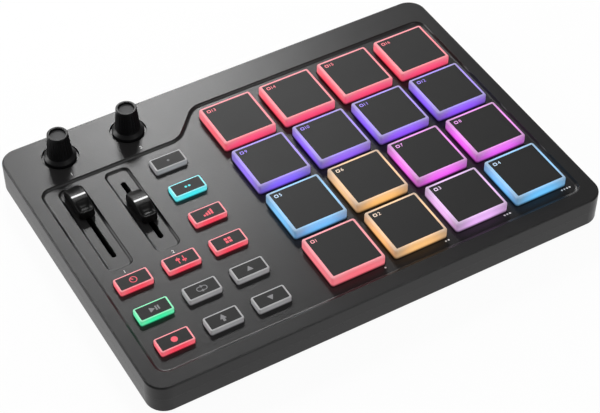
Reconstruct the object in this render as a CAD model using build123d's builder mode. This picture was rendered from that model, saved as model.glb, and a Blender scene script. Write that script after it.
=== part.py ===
from build123d import *
import math
import os

os.makedirs("parts", exist_ok=True)

# A drum pad controller: sixteen lit rubber pads, twelve lit rubber keys, two knobs and two
# faders in a flat two-part plastic case. Sizes are in millimetres. X runs left to right,
# Y front to back, and Z up from the table. The origin is on the table under the case's middle.

# Case
rim_side = 8.65
rim_front = 9.65
rim_back = 18.95
case_corner = 11.0
rim_edge = 0.9
wall = 2.5
floor_thickness = 2.0
bottom_depth = 9.4
bottom_draft = 0.5
bottom_edge = 0.5
top_depth = 9.3
recess_depth = 1.2
recess_corner = 7.0
recess_draft = 37.0
recess_cove = 2.6
panel_thickness = 2.5
shelf_bend = 12.0
shelf_reach = 14.55
shelf_run = 18.45
shelf_margin = 4.4
lip_height = 1.8
lip_thickness = 1.2
lip_gap = 0.15

# Pads
pad_count = 4
pad_size = 33.8
pad_spacing = 6.2
pad_corner = 1.6
pad_edge = 1.0
pad_height = 6.4
pad_travel = 0.8
pad_gap = 0.45
pad_flange = 1.6
pad_flange_thickness = 1.5
pad_wall = 3.0
pad_roof = 3.5
pad_plunger = 14.0
pad_to_side = 6.4
pad_to_front = 8.45
pad_to_back = 9.65

# Keys: three columns on six rows, of which the two left columns use the three front rows
key_width = 20.0
key_depth = 10.4
key_corner = 1.2
key_edge = 0.5
key_height = 3.25
key_travel = 1.0
key_gap = 0.45
key_flange = 1.2
key_flange_thickness = 0.8
key_stem_width = 7.0
key_stem_depth = 4.0
column_spacing = 8.9
row_spacing = 13.6
key_to_side = 6.9
key_to_front = 11.2
key_to_pad = 23.1

# Faders
fader_travel = 45.0
fader_left_rest = 20.15
fader_right_rest = 0.05
cap_length = 24.2
cap_width = 9.7
cap_corner = 2.4
cap_height = 7.35
cap_draft = 3.5
cap_edge = 0.4
cap_crest = 7.5
cap_step = 1.7
cap_shelf = 2.0
cap_lip = 2.5
cap_scoop_width = 7.6
cap_scoop_length = 5.7
cap_scoop_depth = 0.9
cap_line_width = 1.5
cap_line_depth = 0.2
cap_end_gap = 0.3
cap_floor_gap = 1.3
channel_width = 15.4
channel_corner = 4.2
channel_depth = 1.2
channel_draft = 37.0
channel_cove = 1.6
channel_wall = 1.6
slot_width = 3.1
lever_length = 4.2
lever_width = 1.6
lever_in_cap = 5.0
lever_above_board = 2.0
fader_body_width = 9.0
fader_body_height = 6.0
fader_body_end = 5.4
fader_body_gap = 0.5
key_to_fader = 8.1

# Knobs
knob_margin_side = 32.0
knob_margin_back = 18.8
knob_to_shelf = 16.0
knob_pitch = 43.3
well_diameter = 21.6
skirt_diameter = 18.9
skirt_height = 2.1
skirt_slope = 1.6
knob_base_diameter = 15.0
knob_top_diameter = 12.2
knob_height = 18.9
knob_edge = 0.5
knob_rim = 1.6
knob_dish_diameter = knob_top_diameter - 2 * knob_rim
knob_dish_depth = 1.4
knob_roof = 3.2
knob_floor_gap = 0.3
flute_count = 24
flute_radius = 0.5
flute_depth = 0.2
flute_margin = 2.0
shaft_diameter = 6.0
shaft_flat = 1.5
shaft_seat = 1.2
bushing_diameter = 7.4
pot_width = 10.0
pot_depth = 11.0
pot_height = 5.4

# Boards and what they carry
board_thickness = 1.6
board_gap = 0.75
board_overlap = 6.4
sensor_diameter = 18.0
sensor_thickness = 0.4
pad_led_size = 3.2
pad_led_height = 0.9
pad_led_inset = 1.7
key_led_width = 2.0
key_led_depth = 1.25
key_led_height = 0.6
key_led_inset = 2.5
header_length = 25.4
header_width = 2.5
chip_size = 10.0
chip_height = 1.4
chip_inset = 9.0

# USB socket in the back wall
usb_width = 8.94
usb_height = 3.26
usb_depth = 7.4
usb_shell = 0.35
usb_inset = 0.6
usb_gap = 0.45
tongue_width = 6.7
tongue_thickness = 0.7
tongue_short = 1.0

# Feet and screws
foot_height = 2.0
foot_diameter = 14.0
foot_recess = 0.8
foot_inset = 22.0
foot_edge = 0.5
boss_inset = 9.25
boss_diameter = 7.0
pillar_diameter = 8.4
screw_diameter = 3.0
screw_head_diameter = 5.6
screw_head_height = 1.8
screw_head_sink = 0.8
screw_head_bevel = 0.6
screw_bite = 4.5
board_boss_diameter = 5.0
board_screw_diameter = 2.0
board_screw_head_diameter = 3.8
board_screw_head_height = 1.3
board_screw_bite = 2.8
board_boss_rows = 3
board_boss_pitch = 60.0

# Clearances shared by the fits
rest_gap = 0.2
press_gap = 0.2
fit_gap = 0.05
hole_gap = 0.2
end_gap = 0.5

# Heights worked out from the sizes above
bottom_z = foot_height
parting_z = bottom_z + bottom_depth
rim_z = parting_z + top_depth
panel_z = rim_z - recess_depth
ceiling_z = panel_z - panel_thickness
rim_ceiling_z = rim_z - panel_thickness
channel_z = panel_z - channel_depth
channel_under_z = channel_z - channel_wall
floor_z = bottom_z + floor_thickness
control_top_z = channel_under_z - fader_body_gap - fader_body_height
flange_top_z = ceiling_z - rest_gap
pad_bottom_z = flange_top_z - pad_flange_thickness
pad_board_top_z = pad_bottom_z - pad_travel - press_gap - sensor_thickness
key_bottom_z = control_top_z + key_travel + press_gap
cap_bottom_z = channel_z + cap_floor_gap
cap_top_z = cap_bottom_z + cap_height
knob_bottom_z = panel_z + knob_floor_gap
knob_top_z = knob_bottom_z + knob_height
shaft_bottom_z = control_top_z + shaft_seat
shaft_top_z = knob_top_z - knob_dish_depth - knob_roof
usb_z = control_top_z + usb_height / 2
screw_seat_z = bottom_z + screw_head_sink + screw_head_height

# Names of the keys, column by column from the left, each column from the front
key_columns = (
    ("record_button", "play_button", "knob_bank_button"),
    ("shift_button", "note_repeat_button", "fader_bank_button"),
    ("down_button", "up_button", "pad_bank_button", "full_level_button", "bank_b_button", "bank_a_button"),
)
key_names = [name for column in key_columns for name in column]

# Plan of the case, from the controls outwards
pad_pitch = pad_size + pad_spacing
column_pitch = key_width + column_spacing
row_pitch = key_depth + row_spacing
pad_span = (pad_count - 1) * pad_pitch + pad_size
column_span = (len(key_columns) - 1) * column_pitch + key_width
case_width = 2 * rim_side + key_to_side + column_span + key_to_pad + pad_span + pad_to_side
pad_field_depth = pad_to_front + pad_span + pad_to_back + rim_back
short_column_depth = (len(key_columns[0]) - 1) * row_pitch + key_depth
channel_length = fader_travel + cap_length + 2 * cap_end_gap
shelf_depth = key_to_front + short_column_depth + key_to_fader + channel_length + shelf_margin
case_depth = rim_front + max(pad_field_depth, shelf_depth + knob_to_shelf + knob_margin_back)
left_x = -case_width / 2
front_y = -case_depth / 2
back_y = case_depth / 2
recess_left = left_x + rim_side
recess_right = -recess_left
recess_front = front_y + rim_front
recess_back = back_y - rim_back
first_column_x = recess_left + key_to_side + key_width / 2
first_row_y = recess_front + key_to_front + key_depth / 2
first_pad_x = recess_right - pad_to_side - pad_span + pad_size / 2
first_pad_y = recess_front + pad_to_front + pad_size / 2
column_x = [first_column_x + step * column_pitch for step in range(len(key_columns))]
row_y = [first_row_y + step * row_pitch for step in range(len(key_columns[-1]))]
pad_x = [first_pad_x + step * pad_pitch for step in range(pad_count)]
pad_y = [first_pad_y + step * pad_pitch for step in range(pad_count)]
pad_middle = ((pad_x[0] + pad_x[-1]) / 2, (pad_y[0] + pad_y[-1]) / 2)
channel_y = recess_front + shelf_depth - shelf_margin - channel_length / 2
slot_length = fader_travel + lever_length + 2 * cap_end_gap
shelf_y = recess_front + shelf_depth
shelf_x = column_x[-1] + shelf_reach
knob_y = back_y - knob_margin_back
inner_width = case_width - 2 * wall
inner_depth = case_depth - 2 * wall
inner_corner = case_corner - wall

fader_places = [(x, channel_y) for x in column_x[:2]]
fader_rests = [fader_left_rest, fader_right_rest]
knob_places = [(left_x + knob_margin_side + step * knob_pitch, knob_y) for step in range(2)]
pad_places = [(x, y) for y in pad_y for x in pad_x]
key_places = [(x, y) for x, column in zip(column_x, key_columns) for y in row_y[:len(column)]]
boss_x = [left_x + boss_inset, (column_x[-1] + pad_x[0]) / 2, -left_x - boss_inset]
boss_y = [front_y + boss_inset, back_y - boss_inset]
boss_places = [(x, y) for x in boss_x for y in boss_y]
foot_places = [(x, y) for x in (left_x + foot_inset, -left_x - foot_inset)
               for y in (front_y + foot_inset, back_y - foot_inset)]
control_boss_x = [x + column_pitch / 2 for x in column_x[:-1]]
control_boss_y = [row_y[0] + row_pitch / 2 + step * board_boss_pitch for step in range(board_boss_rows)]
control_boss_places = [(x, y) for x in control_boss_x for y in control_boss_y]
pad_boss_places = [(x + pad_pitch / 2, y + pad_pitch / 2) for x in pad_x[:-1] for y in pad_y[:-1]]

# Plan of the boards
control_left = left_x + boss_inset + pillar_diameter / 2 + board_gap
control_right = column_x[-1] + key_width / 2 + key_flange + board_gap * 3
control_front = row_y[0] - key_depth - board_gap
control_back = back_y - wall - board_gap
pad_board_left = control_right - board_overlap
pad_board_right = pad_x[-1] + pad_pitch / 2
pad_board_front = pad_y[0] - pad_pitch / 2
pad_board_back = pad_y[-1] + pad_pitch / 2
usb_plane = Plane((column_x[1], back_y, usb_z), x_dir=(1, 0, 0), z_dir=(0, 1, 0))


def finish(piece, name):
    """Label a finished piece and write it as its own STEP file."""
    piece.part.label = name
    export_step(piece.part, f"parts/{name}.step")


# Outline of the sunk panel: a rectangle whose back left corner steps forward to leave the
# knob shelf, joined to the deep part by a slanted run
with BuildSketch() as recess_shape:
    with BuildLine():
        Polyline(
            (recess_left, recess_front),
            (recess_right, recess_front),
            (recess_right, recess_back),
            (shelf_x + shelf_run, recess_back),
            (shelf_x, shelf_y),
            (recess_left, shelf_y),
            close=True,
        )
    make_face()
    fillet(recess_shape.vertices().filter_by(lambda v: abs(v.X) < recess_right - recess_corner), shelf_bend)
    fillet(recess_shape.vertices().filter_by(lambda v: abs(v.X) > recess_right - recess_corner), recess_corner)

with BuildSketch() as tray_shape:
    offset(recess_shape.sketch, amount=panel_thickness)

# Top case: a moulded shell of even wall, with the sunk panel, its windows and its bosses
with BuildPart() as top_case:
    with BuildSketch(Plane.XY.offset(parting_z)):
        RectangleRounded(case_width, case_depth, case_corner)
    extrude(amount=top_depth)
    fillet(top_case.faces().sort_by(Axis.Z)[-1].edges(), rim_edge)
    with BuildSketch(Plane.XY.offset(rim_z)):
        add(recess_shape.sketch)
    extrude(amount=-recess_depth, taper=recess_draft, mode=Mode.SUBTRACT)
    panel_face = top_case.faces().filter_by(Axis.Z).sort_by(Axis.Z)[-2]
    fillet(panel_face.edges(), recess_cove)

    # Hollow under the panel, and the deeper hollow under the rim and the knob shelf
    with BuildSketch(Plane.XY.offset(parting_z)):
        RectangleRounded(inner_width, inner_depth, inner_corner)
    extrude(amount=ceiling_z - parting_z, mode=Mode.SUBTRACT)
    with BuildSketch(Plane.XY.offset(parting_z)):
        rebate = lip_thickness + lip_gap
        RectangleRounded(inner_width + 2 * rebate, inner_depth + 2 * rebate, inner_corner + rebate)
    extrude(amount=lip_height + lip_gap, mode=Mode.SUBTRACT)
    with BuildSketch(Plane.XY.offset(ceiling_z)):
        RectangleRounded(inner_width, inner_depth, inner_corner)
        add(tray_shape.sketch, mode=Mode.SUBTRACT)
        with Locations(*knob_places):
            Circle(well_diameter / 2 + wall, mode=Mode.SUBTRACT)
    extrude(amount=rim_ceiling_z - ceiling_z, mode=Mode.SUBTRACT)

    # Knob wells, fader channels, and the windows that the controls come through
    with BuildSketch(Plane.XY.offset(rim_z)):
        with Locations(*knob_places):
            Circle(well_diameter / 2)
    extrude(amount=-recess_depth, mode=Mode.SUBTRACT)
    with BuildSketch(Plane.XY.offset(ceiling_z)):
        with Locations(*fader_places):
            RectangleRounded(channel_width + 2 * channel_wall, channel_length + 2 * channel_wall,
                             channel_corner + channel_wall)
    extrude(amount=channel_under_z - ceiling_z)
    with BuildSketch(Plane.XY.offset(panel_z)):
        with Locations(*fader_places):
            RectangleRounded(channel_width, channel_length, channel_corner)
    extrude(amount=-channel_depth, taper=channel_draft, mode=Mode.SUBTRACT)
    channel_floors = top_case.faces().filter_by(lambda face: abs(face.center().Z - channel_z) < 0.01)
    fillet(channel_floors.edges(), channel_cove)
    with BuildSketch(Plane.XY.offset(channel_z)):
        with Locations(*fader_places):
            SlotOverall(slot_length, slot_width, rotation=90)
    extrude(amount=-channel_wall, mode=Mode.SUBTRACT)
    with BuildSketch(Plane.XY.offset(panel_z)):
        with Locations(*pad_places):
            RectangleRounded(pad_size + 2 * pad_gap, pad_size + 2 * pad_gap, pad_corner + pad_gap)
        with Locations(*key_places):
            RectangleRounded(key_width + 2 * key_gap, key_depth + 2 * key_gap, key_corner + key_gap)
        with Locations(*knob_places):
            Circle(bushing_diameter / 2 + hole_gap)
    extrude(amount=-panel_thickness, mode=Mode.SUBTRACT)

    # Bosses for the case screws and for the two boards
    with BuildSketch(Plane.XY.offset(parting_z)):
        with Locations(*boss_places):
            Circle(boss_diameter / 2)
    extrude(amount=rim_ceiling_z - parting_z)
    with BuildSketch(Plane.XY.offset(control_top_z)):
        with Locations(*control_boss_places):
            Circle(board_boss_diameter / 2)
    extrude(amount=ceiling_z - control_top_z)
    with BuildSketch(Plane.XY.offset(pad_board_top_z)):
        with Locations(*pad_boss_places):
            Circle(board_boss_diameter / 2)
    extrude(amount=ceiling_z - pad_board_top_z)
    with BuildSketch(Plane.XY.offset(parting_z)):
        with Locations(*boss_places):
            Circle(screw_diameter / 2 + fit_gap)
    extrude(amount=screw_bite + end_gap, mode=Mode.SUBTRACT)
    with BuildSketch(Plane.XY.offset(control_top_z)):
        with Locations(*control_boss_places):
            Circle(board_screw_diameter / 2 + fit_gap)
    extrude(amount=board_screw_bite + end_gap, mode=Mode.SUBTRACT)
    with BuildSketch(Plane.XY.offset(pad_board_top_z)):
        with Locations(*pad_boss_places):
            Circle(board_screw_diameter / 2 + fit_gap)
    extrude(amount=board_screw_bite + end_gap, mode=Mode.SUBTRACT)

    # Upper half of the socket's opening in the back wall
    with BuildSketch(usb_plane):
        SlotOverall(usb_width + 2 * usb_gap, usb_height + 2 * usb_gap)
    extrude(amount=-usb_depth, mode=Mode.SUBTRACT)
finish(top_case, "top_case")

# Bottom case: a shallow tray with a locating lip, screw pillars and foot recesses
with BuildPart() as bottom_case:
    with BuildSketch(Plane.XY.offset(parting_z)):
        RectangleRounded(case_width, case_depth, case_corner)
    extrude(amount=-bottom_depth, taper=bottom_draft)
    fillet(bottom_case.faces().sort_by(Axis.Z)[0].edges(), bottom_edge)
    with BuildSketch(Plane.XY.offset(parting_z)):
        RectangleRounded(inner_width, inner_depth, inner_corner)
    extrude(amount=floor_z - parting_z, taper=bottom_draft, mode=Mode.SUBTRACT)
    with BuildSketch(Plane.XY.offset(parting_z)):
        RectangleRounded(inner_width + 2 * lip_thickness, inner_depth + 2 * lip_thickness,
                         inner_corner + lip_thickness)
        RectangleRounded(inner_width, inner_depth, inner_corner, mode=Mode.SUBTRACT)
    extrude(amount=lip_height)
    with BuildSketch(Plane.XY.offset(floor_z)):
        with Locations(*boss_places):
            Circle(pillar_diameter / 2)
    extrude(amount=parting_z - floor_z)
    with BuildSketch(Plane.XY.offset(bottom_z)):
        with Locations(*boss_places):
            Circle(screw_diameter / 2 + hole_gap)
    extrude(amount=parting_z - bottom_z, mode=Mode.SUBTRACT)
    with BuildSketch(Plane.XY.offset(bottom_z)):
        with Locations(*boss_places):
            Circle(screw_head_diameter / 2 + hole_gap)
    extrude(amount=screw_seat_z - bottom_z, mode=Mode.SUBTRACT)
    with BuildSketch(Plane.XY.offset(bottom_z)):
        with Locations(*foot_places):
            Circle(foot_diameter / 2 + hole_gap)
    extrude(amount=foot_recess, mode=Mode.SUBTRACT)
    with BuildSketch(usb_plane):
        SlotOverall(usb_width + 2 * usb_gap, usb_height + 2 * usb_gap)
    extrude(amount=-usb_depth, mode=Mode.SUBTRACT)
finish(bottom_case, "bottom_case")

# Feet: rubber discs let into the floor
with BuildPart() as feet:
    with BuildSketch():
        with Locations(*foot_places):
            Circle(foot_diameter / 2)
    extrude(amount=foot_height + foot_recess)
    fillet(feet.edges().filter_by(GeomType.CIRCLE).group_by(Axis.Z)[0], foot_edge)
finish(feet, "feet")

# One pad: a hollow rubber block with a flange that stays under the panel and a plunger inside
with BuildPart() as pad_shape:
    with BuildSketch(Plane.XY.offset(pad_bottom_z)):
        RectangleRounded(pad_size, pad_size, pad_corner)
    extrude(amount=panel_z + pad_height - pad_bottom_z)
    fillet(pad_shape.faces().sort_by(Axis.Z)[-1].edges(), pad_edge)
    with BuildSketch(Plane.XY.offset(pad_bottom_z)):
        RectangleRounded(pad_size + 2 * pad_flange, pad_size + 2 * pad_flange, pad_corner + pad_flange)
    extrude(amount=pad_flange_thickness)
    with BuildSketch(Plane.XY.offset(pad_bottom_z)):
        RectangleRounded(pad_size - 2 * pad_wall, pad_size - 2 * pad_wall, pad_corner)
        Circle(pad_plunger / 2, mode=Mode.SUBTRACT)
    extrude(amount=panel_z + pad_height - pad_roof - pad_bottom_z, mode=Mode.SUBTRACT)

for number, place in enumerate(pad_places, 1):
    with BuildPart() as pad:
        with Locations(place):
            add(pad_shape.part)
    finish(pad, f"pad_{number:02d}")

# One key: a rubber cap with a flange under the panel and a stem above its contact
with BuildPart() as key_shape:
    with BuildSketch(Plane.XY.offset(flange_top_z - key_flange_thickness)):
        RectangleRounded(key_width, key_depth, key_corner)
    extrude(amount=panel_z + key_height - flange_top_z + key_flange_thickness)
    fillet(key_shape.faces().sort_by(Axis.Z)[-1].edges(), key_edge)
    with BuildSketch(Plane.XY.offset(flange_top_z)):
        RectangleRounded(key_width + 2 * key_flange, key_depth + 2 * key_flange, key_corner + key_flange)
    extrude(amount=-key_flange_thickness)
    with BuildSketch(Plane.XY.offset(key_bottom_z)):
        RectangleRounded(key_stem_width, key_stem_depth, key_corner)
    extrude(amount=flange_top_z - key_bottom_z)

for name, place in zip(key_names, key_places):
    with BuildPart() as key:
        with Locations(place):
            add(key_shape.part)
    finish(key, name)


def shaft_section(gap):
    """Round shaft section with a flat on its front side, grown all round by a gap."""
    Circle(shaft_diameter / 2 + gap)
    with Locations((0, -shaft_diameter / 2 - gap + (shaft_flat - gap) / 2)):
        Rectangle(2 * shaft_diameter, shaft_flat - gap, mode=Mode.SUBTRACT)


# One knob: a tapered, fluted grip on a wider skirt, with a dished top and a bore for its shaft
with BuildPart() as knob_shape:
    grip_z = knob_bottom_z + skirt_height + skirt_slope
    with BuildSketch(Plane.XZ):
        with BuildLine():
            Polyline(
                (0, knob_bottom_z),
                (skirt_diameter / 2, knob_bottom_z),
                (skirt_diameter / 2, knob_bottom_z + skirt_height),
                (knob_base_diameter / 2, grip_z),
                (knob_top_diameter / 2, knob_top_z),
                (0, knob_top_z),
                close=True,
            )
        make_face()
    revolve(axis=Axis.Z)
    fillet(knob_shape.edges().filter_by(lambda e: abs(e.center().Z - knob_bottom_z - skirt_height) < 0.01),
           knob_edge)
    with BuildSketch(Plane.XY.offset(knob_top_z)):
        Circle(knob_dish_diameter / 2)
    extrude(amount=-knob_dish_depth, mode=Mode.SUBTRACT)
    fillet(knob_shape.faces().sort_by(Axis.Z)[-1].edges(), knob_edge)
    with BuildSketch(Plane.XY.offset(knob_bottom_z)):
        shaft_section(fit_gap)
    extrude(amount=shaft_top_z + fit_gap - knob_bottom_z, mode=Mode.SUBTRACT)

    # Flutes: fine grooves that follow the taper of the grip
    flute_foot = grip_z + flute_margin
    flute_head = knob_top_z - flute_margin
    grip_slope = (knob_base_diameter - knob_top_diameter) / 2 / (knob_top_z - grip_z)
    middle_radius = knob_base_diameter / 2 - grip_slope * ((flute_foot + flute_head) / 2 - grip_z)
    flute_tilt = math.degrees(math.atan(grip_slope))
    with Locations((0, 0, (flute_foot + flute_head) / 2)):
        with PolarLocations(middle_radius + flute_radius - flute_depth, flute_count):
            Cylinder(flute_radius, flute_head - flute_foot, rotation=(0, -flute_tilt, 0), mode=Mode.SUBTRACT)

# The potentiometer's turning shaft, round in its bushing and flatted inside the knob
with BuildPart() as shaft_shape:
    with BuildSketch(Plane.XY.offset(shaft_bottom_z)):
        Circle(shaft_diameter / 2)
    extrude(amount=knob_bottom_z - shaft_bottom_z)
    with BuildSketch(Plane.XY.offset(knob_bottom_z)):
        shaft_section(0)
    extrude(amount=shaft_top_z - knob_bottom_z)

# The potentiometer's fixed body and bushing
with BuildPart() as pot_shape:
    with BuildSketch(Plane.XY.offset(control_top_z)):
        Rectangle(pot_width, pot_depth)
    extrude(amount=pot_height)
    with BuildSketch(Plane.XY.offset(control_top_z)):
        Circle(bushing_diameter / 2)
    extrude(amount=panel_z - control_top_z)
    with BuildSketch(Plane.XY.offset(shaft_bottom_z - rest_gap)):
        Circle(shaft_diameter / 2 + fit_gap)
    extrude(amount=panel_z - shaft_bottom_z + rest_gap, mode=Mode.SUBTRACT)

for side, place in zip(("left", "right"), knob_places):
    for name, shape in (("knob", knob_shape), ("knob_shaft", shaft_shape), ("knob_pot", pot_shape)):
        with BuildPart() as piece:
            with Locations(place):
                add(shape.part)
        finish(piece, f"{name}_{side}")

# A fingertip's scoop: a round bar with ball ends, along X
scoop_radius = (cap_scoop_length ** 2 / 4 + cap_scoop_depth ** 2) / (2 * cap_scoop_depth)
scoop_bar = (cap_scoop_width - cap_scoop_length) / 2
with BuildPart() as scoop_shape:
    with BuildSketch(Plane.XY):
        with BuildLine():
            Line((-scoop_bar - scoop_radius, 0), (scoop_bar + scoop_radius, 0))
            CenterArc((scoop_bar, 0), scoop_radius, 0, 90)
            Line((scoop_bar, scoop_radius), (-scoop_bar, scoop_radius))
            CenterArc((-scoop_bar, 0), scoop_radius, 90, 90)
        make_face()
    revolve(axis=Axis.X)

# One fader cap: a drafted block with a crest across its middle that carries the index line.
# Each end steps down from the crest and slopes to a low lip, with a scoop for a fingertip
with BuildPart() as cap_shape:
    with BuildSketch(Plane.XY.offset(cap_bottom_z)):
        RectangleRounded(cap_width, cap_length, cap_corner)
    extrude(amount=cap_height, taper=cap_draft)
    step_z = cap_top_z - cap_step
    lip_z = cap_bottom_z + cap_lip
    shelf_end = cap_crest / 2 + cap_shelf
    lip_end = cap_length / 2 - cap_lip * math.tan(math.radians(cap_draft))
    for end in (-1, 1):
        with BuildSketch(Plane.YZ):
            with BuildLine():
                Polyline(
                    (end * cap_crest / 2, cap_top_z),
                    (end * cap_crest / 2, step_z),
                    (end * shelf_end, step_z),
                    (end * lip_end, lip_z),
                    (end * cap_length / 2, lip_z),
                    (end * cap_length / 2, cap_top_z),
                    close=True,
                )
            make_face()
        extrude(amount=cap_width, both=True, mode=Mode.SUBTRACT)
        slope_middle = (0, end * (shelf_end + lip_end) / 2, (step_z + lip_z) / 2)
        slope_normal = (0, end * (step_z - lip_z), lip_end - shelf_end)
        slope_plane = Plane(slope_middle, x_dir=(1, 0, 0), z_dir=slope_normal)
        with Locations(slope_plane.offset(scoop_radius - cap_scoop_depth)):
            add(scoop_shape.part, mode=Mode.SUBTRACT)
    fillet(cap_shape.faces().sort_by(Axis.Z)[-1].edges(), cap_edge)
    with BuildSketch(Plane.XY.offset(cap_top_z)):
        Rectangle(cap_width, cap_line_width)
    extrude(amount=-cap_line_depth, mode=Mode.SUBTRACT)
    with BuildSketch(Plane.XY.offset(cap_bottom_z)):
        Rectangle(lever_width + 2 * fit_gap, lever_length + 2 * fit_gap)
    extrude(amount=lever_in_cap + fit_gap, mode=Mode.SUBTRACT)

# The fader's sliding lever, and its fixed body with the track that the lever runs in
lever_bottom_z = control_top_z + lever_above_board
with BuildPart() as lever_shape:
    with BuildSketch(Plane.XY.offset(lever_bottom_z)):
        Rectangle(lever_width, lever_length)
    extrude(amount=cap_bottom_z + lever_in_cap - lever_bottom_z)

with BuildPart() as track_shape:
    with BuildSketch(Plane.XY.offset(control_top_z)):
        Rectangle(fader_body_width, slot_length + 2 * fader_body_end)
    extrude(amount=fader_body_height)
    with BuildSketch(Plane.XY.offset(lever_bottom_z - rest_gap)):
        Rectangle(lever_width + 2 * hole_gap, slot_length)
    extrude(amount=control_top_z + fader_body_height - lever_bottom_z + rest_gap, mode=Mode.SUBTRACT)

for side, (x, y), rest in zip(("left", "right"), fader_places, fader_rests):
    for name, shape, along in (("fader_cap", cap_shape, rest), ("fader_lever", lever_shape, rest),
                               ("fader_track", track_shape, 0)):
        with BuildPart() as piece:
            with Locations((x, y + along)):
                add(shape.part)
        finish(piece, f"{name}_{side}")

# Control board: under the keys, faders and knobs, hung from the top case's long bosses
with BuildPart() as control_board:
    with BuildSketch(Plane.XY.offset(control_top_z)):
        with Locations((control_left, control_front)):
            Rectangle(control_right - control_left, control_back - control_front, align=(Align.MIN, Align.MIN))
        with Locations(*control_boss_places):
            Circle(board_screw_diameter / 2 + hole_gap, mode=Mode.SUBTRACT)
    extrude(amount=-board_thickness)
finish(control_board, "control_board")

# Pad board: under the pads, hung from the short bosses between them
with BuildPart() as pad_board:
    with BuildSketch(Plane.XY.offset(pad_board_top_z)):
        with Locations((pad_board_left, pad_board_front)):
            Rectangle(pad_board_right - pad_board_left, pad_board_back - pad_board_front,
                      align=(Align.MIN, Align.MIN))
        with Locations(*pad_boss_places):
            Circle(board_screw_diameter / 2 + hole_gap, mode=Mode.SUBTRACT)
    extrude(amount=-board_thickness)
finish(pad_board, "pad_board")

# Header: the pin strip that joins the boards where they overlap
with BuildPart() as board_header:
    with BuildSketch(Plane.XY.offset(control_top_z)):
        with Locations(((pad_board_left + control_right) / 2, pad_middle[1])):
            Rectangle(header_width, header_length)
    extrude(amount=pad_board_top_z - board_thickness - control_top_z)
finish(board_header, "board_header")

# Pressure sensors under the plungers, and the lamps that light the pads
with BuildPart() as pad_sensors:
    with BuildSketch(Plane.XY.offset(pad_board_top_z)):
        with Locations(*pad_places):
            Circle(sensor_diameter / 2)
    extrude(amount=sensor_thickness)
finish(pad_sensors, "pad_sensors")

pad_led_offset = pad_size / 2 - pad_wall - pad_led_inset - pad_led_size / 2
with BuildPart() as pad_leds:
    with BuildSketch(Plane.XY.offset(pad_board_top_z)):
        for x, y in pad_places:
            with Locations((x - pad_led_offset, y - pad_led_offset), (x + pad_led_offset, y + pad_led_offset)):
                Rectangle(pad_led_size, pad_led_size)
    extrude(amount=pad_led_height)
finish(pad_leds, "pad_leds")

key_led_offset = key_width / 2 - key_led_inset - key_led_width / 2
with BuildPart() as button_leds:
    with BuildSketch(Plane.XY.offset(control_top_z)):
        with Locations(*[(x - key_led_offset, y) for x, y in key_places]):
            Rectangle(key_led_width, key_led_depth)
    extrude(amount=key_led_height)
finish(button_leds, "button_leds")

# Controller chip on the control board's underside
with BuildPart() as controller_chip:
    with BuildSketch(Plane.XY.offset(control_top_z - board_thickness)):
        with Locations((column_x[1], control_back - chip_size / 2 - usb_depth - chip_inset)):
            Rectangle(chip_size, chip_size)
    extrude(amount=-chip_height)
finish(controller_chip, "controller_chip")

# USB socket: a folded metal shell with a closed back, and the contact tongue inside it
with BuildPart() as usb_port:
    with BuildSketch(usb_plane.offset(-usb_inset)):
        SlotOverall(usb_width, usb_height)
    extrude(amount=-usb_depth)
    with BuildSketch(usb_plane.offset(-usb_inset)):
        SlotOverall(usb_width - 2 * usb_shell, usb_height - 2 * usb_shell)
    extrude(amount=usb_shell - usb_depth, mode=Mode.SUBTRACT)
finish(usb_port, "usb_port")

with BuildPart() as usb_tongue:
    with BuildSketch(usb_plane.offset(usb_shell - usb_depth - usb_inset)):
        RectangleRounded(tongue_width, tongue_thickness, tongue_thickness / 3)
    extrude(amount=usb_depth - usb_shell - tongue_short)
finish(usb_tongue, "usb_tongue")

# Screws: pan heads, head down, in three groups of like screws
screw_groups = (
    ("case_screws", boss_places, screw_diameter, screw_head_diameter, screw_head_height,
     screw_seat_z, parting_z + screw_bite),
    ("control_board_screws", control_boss_places, board_screw_diameter, board_screw_head_diameter,
     board_screw_head_height, control_top_z - board_thickness, control_top_z + board_screw_bite),
    ("pad_board_screws", pad_boss_places, board_screw_diameter, board_screw_head_diameter,
     board_screw_head_height, pad_board_top_z - board_thickness, pad_board_top_z + board_screw_bite),
)
for name, places, diameter, head_diameter, head_height, seat_z, tip_z in screw_groups:
    with BuildPart() as screw:
        with BuildSketch(Plane.XZ):
            with BuildLine():
                Polyline(
                    (0, seat_z - head_height),
                    (head_diameter / 2 - screw_head_bevel, seat_z - head_height),
                    (head_diameter / 2, seat_z - head_height + screw_head_bevel),
                    (head_diameter / 2, seat_z),
                    (diameter / 2, seat_z),
                    (diameter / 2, tip_z - diameter / 2),
                    (0, tip_z),
                    close=True,
                )
            make_face()
        revolve(axis=Axis.Z)
    with BuildPart() as screws:
        with Locations(*places):
            add(screw.part)
    finish(screws, name)
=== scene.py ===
# %% [markdown]
# # A drum pad controller, dressed for the camera
#
# The CAD model already holds every piece of the controller at its real size: two case halves,
# sixteen pads, twelve keys, two knobs, two faders and what is inside. This lesson gives those
# pieces their finishes, and adds what is only a print or a thin skin on the real object: the black
# faces of the pads and keys, the numbers, the symbols and the index lines. The two fader caps are
# drawn again with a finer sweep. Everything is in metres, in the CAD model's own frame, so a new
# piece goes where the CAD says.

import math

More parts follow.
